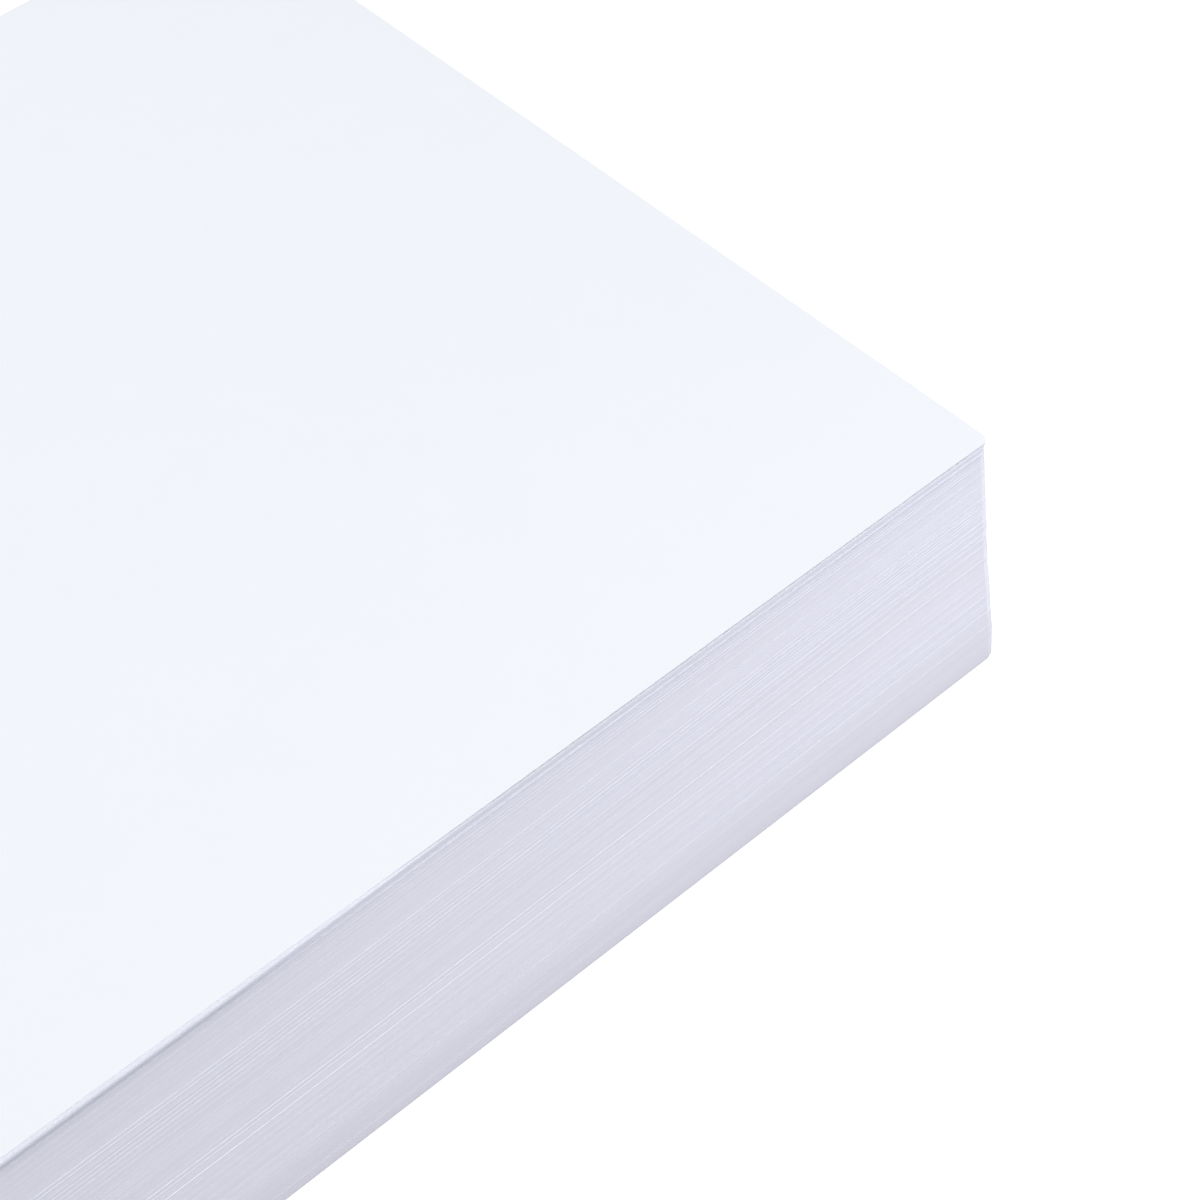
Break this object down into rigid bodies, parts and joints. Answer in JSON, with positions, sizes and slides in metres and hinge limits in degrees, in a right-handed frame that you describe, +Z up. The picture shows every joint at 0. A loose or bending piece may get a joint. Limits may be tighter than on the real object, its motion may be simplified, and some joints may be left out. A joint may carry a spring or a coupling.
{
  "type": "ream of paper",
  "caption": "Unwrapped ream of plain white A4 copy paper, loose sheets in a square stack that leans slightly, with a few sheets standing proud of its sides.",
  "frame": {"origin": "middle of the stack's footprint, on the surface that it lies on", "axes": "+X along the sheets' long side, +Y along their short side away from the front, +Z up through the stack"},
  "size_m": [0.2994, 0.2124, 0.052],
  "materials": {
    "copy_paper": "matt, uncoated, bright white with a slight blue-violet cast"
  },
  "bodies": {
    "root": {"top_sheet": "copy_paper", "second_sheet": "copy_paper", "third_sheet": "copy_paper", "top_lift": "copy_paper", "proud_sheet_1": "copy_paper", "lift_1": "copy_paper", "proud_sheet_2": "copy_paper", "lift_2": "copy_paper", "proud_sheet_3": "copy_paper", "lift_3": "copy_paper", "proud_sheet_4": "copy_paper", "lift_4": "copy_paper", "proud_sheet_5": "copy_paper", "lift_5": "copy_paper", "proud_sheet_6": "copy_paper", "lift_6": "copy_paper", "proud_sheet_7": "copy_paper", "lift_7": "copy_paper", "proud_sheet_8": "copy_paper", "lift_8": "copy_paper", "proud_sheet_9": "copy_paper", "lift_9": "copy_paper", "proud_sheet_10": "copy_paper", "lift_10": "copy_paper", "proud_sheet_11": "copy_paper", "lift_11": "copy_paper", "proud_sheet_12": "copy_paper", "lift_12": "copy_paper", "proud_sheet_13": "copy_paper", "lift_13": "copy_paper", "proud_sheet_14": "copy_paper", "lift_14": "copy_paper", "proud_sheet_15": "copy_paper", "bottom_lift": "copy_paper", "bottom_sheet": "copy_paper"}
  },
  "joints": []
}
